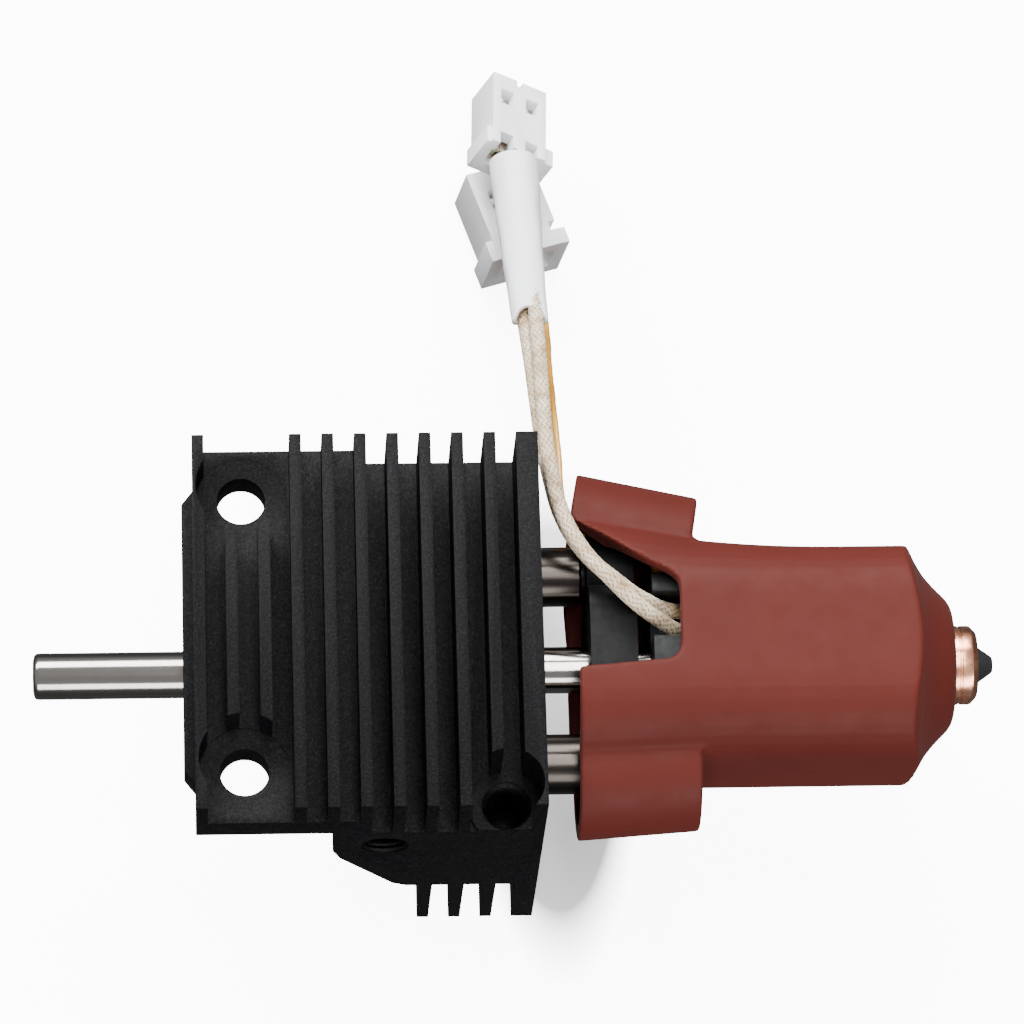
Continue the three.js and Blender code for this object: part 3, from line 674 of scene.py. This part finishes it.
def make_heatsink():
    body = prism("heatsink_anodised", sink_outline(), SINK_BACK, SINK_FRONT, along_y)
    adds, cuts = [], []
    holes = (SINK_MID - HOLE_SPREAD, SINK_MID + HOLE_SPREAD)
    for i in (1, 2):
        x = i * FIN_PITCH
        adds.append(prism("fin", rectangle(x, x + FIN_THICK, holes[0], holes[1]),
                          PLATE_TOP - 0.5, SINK_TOP, along_z))
    low, high = SINK_MID - FLANGE_HALF, SINK_MID + FLANGE_HALF
    adds.append(prism("flange", [
        (0.2, low - FLANGE_CHAMFER), (0.2, high + FLANGE_CHAMFER), (0, high + FLANGE_CHAMFER),
        (-FLANGE_OUT, high), (-FLANGE_OUT, low), (0, low - FLANGE_CHAMFER)],
        BLOCK_TOP, PLATE_TOP, along_z))
    adds.append(prism("pad", circle(BLIND_X, BLIND_Y, BLIND_POCKET_R + 0.2, 64),
                      BLOCK_TOP - 0.5, BLOCK_TOP + BLIND_PAD, along_z))
    join(body, *adds)
    trim = [prism("trim", rectangle(-3, 30, SINK_BACK - 6, SINK_BACK), 0, 30, along_z),
            prism("trim", rectangle(SINK_WIDTH, 30, -20, 20), 0, 30, along_z)]
    for y, sunk in ((holes[0], 0.12), (holes[1], 0.03)):
        cuts.append(prism("pocket", circle(HOLE_X, y, POCKET_R, 72),
                          PLATE_TOP - sunk, SINK_TOP + 1, along_z))
        cuts.append(prism("hole", circle(HOLE_X, y, HOLE_R, 64), 17, 22, along_z))
    cuts.append(prism("pocket", circle(BLIND_X, BLIND_Y, BLIND_POCKET_R, 64),
                      BLOCK_TOP + BLIND_PAD, SINK_TOP + 1, along_z))
    blind = [(12.5, 0.0), (13.1, 1.3)]
    z = 13.1
    while z < BLOCK_TOP + 0.1:
        blind += [(z + 0.12, BLIND_R - 0.12), (z + 0.25, BLIND_R + 0.04),
                  (z + 0.38, BLIND_R - 0.12)]
        z += THREAD_PITCH
    blind += [(z + 0.05, BLIND_R + 0.1), (z + 0.8, BLIND_R + 0.1), (z + 0.8, 0.0)]
    cuts.append(threaded("blind", blind, lambda a, b, c: (BLIND_X + b, BLIND_Y + c, a)))
    cuts.append(prism("bore", circle(0, AXIS_Z, 1.56, 64), 5, 30, along_x))
    screw = [(-13, 0.0), (-13, SET_R + 0.08), (SINK_BACK + 0.1, SET_R + 0.08)]
    y = SINK_BACK + 0.12
    while y < -2:
        screw += [(y + 0.1, SET_R - THREAD_DEEP), (y + 0.25, SET_R + 0.06),
                  (y + 0.4, SET_R - THREAD_DEEP)]
        y += THREAD_PITCH
    screw += [(-1.5, SET_R - THREAD_DEEP), (-1.5, 0.0)]
    cuts.append(threaded("screw", screw, lambda a, b, c: (SET_X + b, a, AXIS_Z + c)))
    cut(body, *trim, *cuts)
    soften(body, EDGE_ROUND, 2, 32, 35)
    return finish_piece(body, ANODISED, "anodised", "cold_side", "heatsink")


def threaded(name, profile, place, count=48):
    """Solid of revolution for cutting a hole: profile is (distance, radius)."""
    bm = bmesh.new()
    rings = []
    for a, radius in profile:
        if radius < 1e-6:
            rings.append([bm.verts.new(mm(*place(a, 0, 0)))])
        else:
            rings.append([bm.verts.new(mm(*place(a, b, c)))
                          for b, c in circle(0, 0, radius, count)])
    for a, b in zip(rings, rings[1:]):
        for i in range(count):
            j = (i + 1) % count
            if len(a) == 1:
                bm.faces.new((a[0], b[j], b[i]))
            elif len(b) == 1:
                bm.faces.new((a[i], a[j], b[0]))
            else:
                bm.faces.new((a[i], a[j], b[j], b[i]))
    return from_bmesh(name, bm)


make_heatsink()
screw_body = threaded("set_screw_black", [
    (-6.8, 0.0), (-6.8, 1.05), (-6.65, 1.2), (-1.95, 1.2), (-1.8, 1.05), (-1.8, 0.0)],
    lambda a, b, c: (SET_X + b, a, AXIS_Z + c))
hexagon = [(SET_X + 0.75 * math.cos(math.pi / 3 * i), AXIS_Z + 0.75 * math.sin(math.pi / 3 * i))
           for i in range(6)]
cut(screw_body, prism("socket", hexagon, -8, -5, along_y))
shade(screw_body)
finish_piece(screw_body, BLACK_METAL, "black_steel", "clamp_screw", "set_screw")


# ---- tube, nozzle, standoffs ----------------------------------------------------------------
tube_piece = turned("heatbreak_polished", [
    (TUBE_LEFT, 1.03), (TUBE_LEFT + 0.08, 1.36), (TUBE_LEFT + 0.22, 1.47),
    (TUBE_LEFT + 0.4, TUBE_R), (TUBE_RIGHT, TUBE_R), (TUBE_RIGHT, TUBE_BORE_R),
    (TUBE_LEFT + 0.2, TUBE_BORE_R)], count=96)
shade(tube_piece, 50)
finish_piece(tube_piece, TUBE_STEEL, "tube_steel", "nozzle_unit", "heatbreak_tube")

copper_piece = turned("nozzle_copper", [
    (NOZZLE_LEFT, 1.8), (NOZZLE_LEFT, NOZZLE_R), (49.15, NOZZLE_R), (49.2, 2.49),
    (49.3, 2.49), (49.35, NOZZLE_R), (49.86, NOZZLE_R), (50.0, 2.5), (50.28, 2.22),
    (NOZZLE_RIGHT, 2.1), (NOZZLE_RIGHT, 1.32), (50.3, 1.26), (46.3, 1.26), (46.3, 0.9),
    (TUBE_RIGHT, 0.9), (TUBE_RIGHT, 1.8)], count=96)
shade(copper_piece, 25)
finish_piece(copper_piece, COPPER, "copper", "nozzle_unit", "nozzle_body")

tip_piece = turned("nozzle_tip_black", [
    (TIP_STEM_LEFT, 0.2), (TIP_STEM_LEFT, TIP_STEM_R), (50.42, TIP_STEM_R), (50.5, 1.17),
    (51.38, 0.56), (TIP_END, 0.44), (TIP_END, 0.2)], count=72)
shade(tip_piece, 30)
finish_piece(tip_piece, TIP_BLACK, "black_steel", "nozzle_unit", "nozzle_tip")

for label, y in (("upper", POST_Y), ("lower", -POST_Y)):
    post = turned("standoff_steel_" + label, [
        (STUD_LEFT, 0.0), (STUD_LEFT, STUD_R), (22.28, STUD_R), (POST_LEFT, 1.8),
        (22.42, POST_R), (24.86, POST_R), (POST_RIGHT, 1.8), (POST_RIGHT, STUD_R),
        (POST_BORE_LEFT, STUD_R), (POST_BORE_LEFT, 0.0)], y=y, count=72)
    shade(post, 35)
    finish_piece(post, PAINTED_SHADE_STEEL, "tube_steel", "cold_side", "standoff_" + label)
    head = turned("standoff_screw_black_" + label, [
        (SCREW_LEFT, 0.0), (SCREW_LEFT, SCREW_R), (SCREW_HEAD_LEFT, SCREW_R),
        (28.05, SCREW_HEAD_R), (SCREW_RIGHT, SCREW_HEAD_R), (SCREW_RIGHT, 0.7),
        (27.5, 0.62), (27.4, 0.0)], y=y, count=48)
    shade(head, 30)
    finish_piece(head, BLACK_METAL, "black_steel", "cold_side", "standoff_screw_" + label)


# ---- hot side -------------------------------------------------------------------------------
def centred_bar(name, left, right, half, corner):
    return prism(name, rounded_rectangle(-half, half, AXIS_Z - half, AXIS_Z + half, corner),
                 left, right, along_x)


plate = centred_bar("carrier_plate_dark", PLATE_LEFT, PLATE_RIGHT, PLATE_HALF, HOT_CORNER)
join(plate, *[prism("ear", circle(y, AXIS_Z, PLATE_EAR_R, 64), PLATE_LEFT, PLATE_RIGHT, along_x)
              for y in (-POST_Y, POST_Y)])
cut(plate,
    *[turned("seat", [(24, 0.0), (24, 1.1), (27.1, 1.1), (28.1, 2.1), (29, 2.1), (29, 0.0)], y=y)
      for y in (-POST_Y, POST_Y)],
    prism("bore", circle(0, AXIS_Z, 1.8, 48), 20, 40, along_x),
    prism("way", rectangle(POST_Y + 2.28, POST_Y + 4, AXIS_Z - 0.9, AXIS_Z + 1.6), 20, 30,
          along_x))
soften(plate, 0.12, 2)
finish_piece(plate, PLATE_METAL, "black_steel", "cold_side", "carrier_plate")

block = centred_bar("hot_block_dark", HOT_LEFT, HOT_RIGHT, HOT_HALF, HOT_CORNER)
cut(block,
    prism("room", circle(0, AXIS_Z, RING_R + 0.3, 72), HOT_LEFT + HOT_WALL, 50, along_x),
    prism("bore", circle(0, AXIS_Z, 1.8, 48), 20, 40, along_x),
    prism("slot", rectangle(0.5, 3.5, AXIS_Z + 1.9, AXIS_Z + 7), 28, 31.3, along_x),
    prism("groove", rectangle(3.6, 7, AXIS_Z + 1.7, AXIS_Z + 3.5), 28, 37.3, along_x))
soften(block, 0.12, 2)
finish_piece(block, HOT_METAL, "hot_metal", "cold_side", "heater_block")

ring = turned("ceramic_ring", [
    (RING_LEFT, RING_BORE_R), (RING_LEFT, RING_R - 0.1), (RING_LEFT + 0.1, RING_R),
    (RING_RIGHT - 0.1, RING_R), (RING_RIGHT, RING_R - 0.1), (RING_RIGHT, RING_BORE_R)])
cut(ring, prism("clear", circle(BEAD_Y, BEAD_Z, BEAD_CLEAR, 32), 30, BEAD_RIGHT + 0.3, along_x))
shade(ring, 35)
finish_piece(ring, CERAMIC, "ceramic", "cold_side", "ceramic_heater")

bead = turned("sensor_capsule_steel", [
    (BEAD_LEFT, 0.0), (BEAD_LEFT, 0.55), (BEAD_LEFT + 0.05, BEAD_R),
    (BEAD_RIGHT - 0.2, BEAD_R), (BEAD_RIGHT, 0.45), (BEAD_RIGHT, 0.0)],
    y=BEAD_Y, z=BEAD_Z, count=32)
shade(bead, 35)
finish_piece(bead, PAINTED_SHADE_STEEL, "tube_steel", "cold_side", "sensor_capsule")


# ---- silicone sock --------------------------------------------------------------------------
EAR_RIGHT = 32.3
EAR_SPLAY = 0.225
EAR_LIFT = 0.6
EAR_LEAN = 0.18
EAR_FADE = 9.0
LOWER_SPLAY = 0.07


def flare(point):
    """Moves a bench point of the sock's ears outward, more towards their open end."""
    x, y, z = point
    reach = EAR_RIGHT - x
    upper = min(1.0, max(0.0, (y - 3.5) / 4.0))
    lower = min(1.0, max(0.0, (-y - 4.5) / 4.0))
    upper = upper * upper * (3 - 2 * upper)
    if reach > 0:
        shift = EAR_LIFT + EAR_SPLAY * reach
        y -= lower * LOWER_SPLAY * reach
        x += upper * EAR_LEAN * (y - 7.6)
    else:
        shift = EAR_LIFT * max(0.0, 1 + reach / EAR_FADE) ** 2
    return x, y + upper * shift, z


def make_sock():
    nose = turned("nose", [
        (20, 0.0), (20, 11.2), (45.2, 8.6), (45.8, 7.95), (46.1, 7.4), (46.35, 6.85),
        (46.85, 6.0), (47.2, 5.55), (47.6, 5.1), (48.1, 4.6), (48.5, 4.2), (48.72, 3.8),
        (SOCK_RIGHT, 3.3), (SOCK_RIGHT, 0.0)], y=0.003, z=AXIS_Z + 0.004, count=90)
    body = centred_bar("sock_silicone", SOCK_LEFT, SOCK_RIGHT + 0.7, SOCK_HALF, SOCK_CORNER)
    boolean(body, [nose], "INTERSECT")
    ears = [prism("ear", circle(y, AXIS_Z, EAR_R, 72), SOCK_LEFT, EAR_END, along_x)
            for y in (-POST_Y, POST_Y)]
    join(body, *ears)
    inside = [centred_bar("inside", 23, 45.9, SOCK_HALF - SOCK_WALL, SOCK_CORNER - SOCK_WALL),
              prism("hole", circle(0, AXIS_Z, 2.7, 64), 44, 50, along_x),
              prism("notch", [(24.0, -2.1), (30.0, -1.62), (30.5, -1.45), (30.8, -1.0),
                              (30.9, -0.4), (30.95, 3.2), (30.8, 3.9), (30.3, 4.35), (27.0, 5.8),
                              (23.9, 6.9)][::-1], AXIS_Z + 1.5, AXIS_Z + 9, along_z)]
    inside += [prism("ear_inside", circle(y, AXIS_Z, EAR_INSIDE_R, 72), 23, EAR_INSIDE_END, along_x)
               for y in (-POST_Y, POST_Y)]
    for tool in inside:
        cut(body, tool)
    remesh = body.modifiers.new("remesh", "REMESH")
    remesh.mode = "VOXEL"
    remesh.voxel_size = SOCK_VOXEL / 1000
    relax = body.modifiers.new("relax", "SMOOTH")
    relax.factor = 0.5
    relax.iterations = 5
    bpy.context.view_layer.update()
    apply_modifiers(body)
    for vert in body.data.vertices:
        x, y, z = vert.co * 1000
        vert.co = mm(*flare((x + CENTRE_X, y + CENTRE_Y, z)))
    body.data.shade_smooth()
    return finish_piece(body, SILICONE, "silicone", "sock", "silicone_sock")


make_sock()


# ---- shrink sleeve --------------------------------------------------------------------------
def make_sleeve():
    start, end = Vector((22.4, 25.2, 14.0)), Vector((21.9, 38.45, 9.05))
    middle = (start + end) / 2 + Vector((0, 0, -1.0))
    rows, sides = 70, 72
    bm = bmesh.new()
    shells = []
    for wall in (0.0, 0.28):
        rings = []
        for i in range(rows + 1):
            t = i / rows
            centre = start * (1 - t) ** 2 + middle * (2 * t * (1 - t)) + end * t * t
            along = ((middle - start) * (1 - t) + (end - middle) * t).normalized()
            side = (Vector((1, 0, 0)) - along * along.x).normalized()
            up = along.cross(side) * -1
            wide = 1.2 + 0.46 * t
            tall = 0.9 + 0.7 * min(1.0, max(0.0, (t - 0.05) / 0.8))
            ring = []
            for j in range(sides):
                a = 2 * math.pi * j / sides
                waist = 0.1 * (1 - t) ** 2 * math.exp(-((math.cos(a) / 0.28) ** 2))
                wrinkle = 0.02 * math.sin(5 * a + 9 * t) * math.sin(14 * t + 2 * math.cos(a))
                spread = 1.0 - waist + wrinkle
                x = (wide - wall) * math.cos(a) * spread
                y = (tall - wall) * math.sin(a) * spread
                scallop = 0.0
                if t < 0.15:
                    scallop = (1 - t / 0.15) * 0.35 * math.cos(2 * a) * -1
                point = centre + side * x + up * y + along * scallop
                ring.append(bm.verts.new(mm(*point)))
            rings.append(ring)
        shells.append(rings)
    outer, inner = shells
    for j in range(sides):
        k = (j + 1) % sides
        for i in range(rows):
            bm.faces.new((outer[i][j], outer[i][k], outer[i + 1][k], outer[i + 1][j]))
            bm.faces.new((inner[i][k], inner[i][j], inner[i + 1][j], inner[i + 1][k]))
        bm.faces.new((outer[0][k], outer[0][j], inner[0][j], inner[0][k]))
        bm.faces.new((outer[-1][j], outer[-1][k], inner[-1][k], inner[-1][j]))
    piece = from_bmesh("sleeve_white", bm)
    soften(piece, 0.08, 2, 50, 60)
    return finish_piece(piece, SLEEVE_WHITE, "white_sleeve", "cold_side", "shrink_sleeve")


make_sleeve()


# ---- connectors -----------------------------------------------------------------------------
def block_of(x0, x1, y0, y1, z0, z1):
    return prism("block", rectangle(x0, x1, y0, y1), z0, z1, along_z)


class Plug:
    """Where a connector lies: its middle, and its roll, dip and turn in degrees."""

    def __init__(self, at, roll, dip, turn):
        origin = mm(0, 0, 0)
        self.place = (Matrix.Translation(mm(*at))
                      @ Matrix.Rotation(math.radians(turn), 4, "Z")
                      @ Matrix.Rotation(math.radians(dip), 4, "X")
                      @ Matrix.Rotation(math.radians(roll), 4, "Y")
                      @ Matrix.Translation(-origin))

    def settle(self, piece):
        piece.data.transform(self.place)

    def terminal(self, name, x, start, node):
        """Folded crimp contact: a square shell with a lance and an open seam."""
        body = block_of(x - 0.45, x + 0.45, start, start + 3.6, -0.45, 0.45)
        body.name = name
        cut(body, block_of(x - 0.26, x + 0.26, start - 1, start + 5, -0.26, 0.26),
            block_of(x - 0.03, x + 0.03, start - 1, start + 1.4, 0, 2),
            block_of(x - 0.2, x + 0.2, start + 1.9, start + 2.6, 0, 2))
        soften(body, 0.06, 2)
        self.settle(body)
        finish_piece(body, TINNED, "tinned", "cold_side", node)


def make_heater_connector():
    plug = Plug((21.75, 41.75, 7.05), 27, -22, -3)
    wide, long, thick = 2.05, 3.3, 1.55
    body = block_of(-wide, wide, -long, long, -thick, thick)
    body.name = "heater_connector_nylon"
    join(body, block_of(-wide - 0.3, wide + 0.7, -long, -long + 1.5, -thick, thick - 0.25),
         block_of(-wide + 0.5, wide - 0.5, -0.6, long - 0.5, -thick - 0.2, 0))
    cuts = [block_of(-0.22, 0.22, long - 0.5, 5, -0.1, 4)]
    for x in (-0.95, 0.95):
        cuts.append(block_of(x - 0.65, x + 0.65, -6, 6, -0.65, 0.65))
        cuts.append(block_of(x - 0.5, x + 0.5, 0.6, 1.95, 0.3, 3))
        cuts.append(block_of(x - 0.5, x + 0.5, -6, -long + 1.1, 0.3, 3))
    cut(body, *cuts)
    soften(body, 0.16, 3, 40)
    plug.settle(body)
    finish_piece(body, NYLON, "nylon", "cold_side", "heater_connector")
    plug.terminal("heater_crimp_a", -0.95, -long + 0.4, "heater_terminal_a")
    plug.terminal("heater_crimp_b", 0.95, -long + 0.4, "heater_terminal_b")
    return body


def make_sensor_connector():
    plug = Plug((21.8, 36.75, 2.74), 9, 0, 19)
    wide, long, thick = 2.35, 3.3, 2.25
    body = block_of(-wide, wide, -long, long, -thick, thick)
    body.name = "sensor_connector_nylon"
    join(body, block_of(-wide - 0.5, wide + 0.5, -long, -long + 1.5, -thick, thick - 0.1))
    cuts = [block_of(-1.9, 1.9, -6, -long + 0.7, -1.2, 1.2),
            block_of(wide - 0.5, wide + 0.7, -long + 1.15, -long + 1.75, 0.4, 4)]
    for x in (-0.95, 0.95):
        cuts.append(block_of(x - 0.7, x + 0.7, -6, 6, -0.7, 0.7))
        cuts.append(block_of(x - 0.45, x + 0.45, 0.4, 1.7, 0.3, 3))
    cut(body, *cuts)
    soften(body, 0.16, 3, 40)
    plug.settle(body)
    finish_piece(body, NYLON, "nylon", "cold_side", "sensor_connector")
    plug.terminal("sensor_crimp_a", -0.95, -long + 1.1, "sensor_terminal_a")
    plug.terminal("sensor_crimp_b", 0.95, -long + 1.1, "sensor_terminal_b")
    return body


heater_connector = make_heater_connector()
sensor_connector = make_sensor_connector()


# ---- stage ----------------------------------------------------------------------------------
FLOOR_GLOW = 9.0
SHADE_CENTRE = (24.0, 2.0, 0.0)
SHADE_WIDE, SHADE_LONG = 6.0, 19.0


def floor_material():
    nodes = Nodes("floor")
    nodes.values(Roughness=0.85, Specular_IOR_Level=0.1, Emission_Strength=FLOOR_GLOW)
    nodes.colour(nodes.mix(nodes.noise(3, 2), (0.93, 0.93, 0.93), (0.95, 0.95, 0.95)))
    nodes.shader.inputs["Emission Color"].default_value = (1.0, 1.0, 1.0, 1.0)
    # Painted shadow: the glow fades out in an ellipse round SHADE_CENTRE, under the gap between the
    # heatsink and the sock. There the floor is lit only by the lamps and shows their real shadows.
    centre = mm(*SHADE_CENTRE)
    spot = nodes.tree.nodes.new("ShaderNodeMapping")
    spot.vector_type = "TEXTURE"
    spot.inputs["Location"].default_value = centre
    spot.inputs["Scale"].default_value = (SHADE_WIDE / 1000, SHADE_LONG / 1000, 1.0)
    nodes.link(nodes.coords, spot.inputs["Vector"])
    round_off = nodes.tree.nodes.new("ShaderNodeTexGradient")
    round_off.gradient_type = "SPHERICAL"
    nodes.link(spot.outputs["Vector"], round_off.inputs["Vector"])
    glow = nodes.grey(round_off.outputs["Fac"], FLOOR_GLOW, 0.02, (0.02, 0.3))
    nodes.link(glow, nodes.shader.inputs["Emission Strength"])
    return nodes.material


FLOOR_HALF = 1.5
floor_mesh = bmesh.new()
corners = [floor_mesh.verts.new((x, y, -0.00005)) for x, y in (
    (-FLOOR_HALF, -FLOOR_HALF), (FLOOR_HALF, -FLOOR_HALF),
    (FLOOR_HALF, FLOOR_HALF), (-FLOOR_HALF, FLOOR_HALF))]
floor_mesh.faces.new(corners)
floor = from_bmesh("floor", floor_mesh)
floor.data.materials.append(floor_material())
floor.visible_diffuse = False
floor.visible_glossy = False


def soft_light(name, place, aim, size, watts, tone=(1, 1, 1)):
    data = bpy.data.lights.new(name, "AREA")
    data.shape = "RECTANGLE"
    data.size, data.size_y = size
    data.energy = watts
    data.color = tone
    light = bpy.data.objects.new(name, data)
    bpy.context.scene.collection.objects.link(light)
    light.location = place
    light.rotation_euler = (Vector(aim) - Vector(place)).to_track_quat("-Z", "Y").to_euler()
    return light


LIGHT_AIM = (0, 0, 0.01)
KEY_WATTS, TOP_WATTS, FRONT_WATTS = 13.0, 4.0, 8.0

soft_light("key", (-0.1, 0.42, 0.45), LIGHT_AIM, (0.7, 0.3), KEY_WATTS)
soft_light("top", (0.05, 0.0, 0.7), LIGHT_AIM, (0.5, 0.12), TOP_WATTS)
soft_light("front", (0.1, -0.6, 0.22), LIGHT_AIM, (0.9, 0.3), FRONT_WATTS)

SKY_ABOVE, SKY_BELOW = 0.55, 0.12


def make_world():
    world = bpy.data.worlds.new("studio")
    world.use_nodes = True
    tree = world.node_tree
    coords = tree.nodes.new("ShaderNodeTexCoord")
    split = tree.nodes.new("ShaderNodeSeparateXYZ")
    tree.links.new(coords.outputs["Generated"], split.inputs["Vector"])
    level = tree.nodes.new("ShaderNodeMapRange")
    level.inputs["From Min"].default_value = -0.15
    level.inputs["From Max"].default_value = 0.35
    level.inputs["To Min"].default_value = SKY_BELOW
    level.inputs["To Max"].default_value = SKY_ABOVE
    tree.links.new(split.outputs["Z"], level.inputs["Value"])
    background = tree.nodes["Background"]
    background.inputs["Color"].default_value = (1.0, 1.0, 1.0, 1.0)
    tree.links.new(level.outputs["Result"], background.inputs["Strength"])
    bpy.context.scene.world = world


make_world()
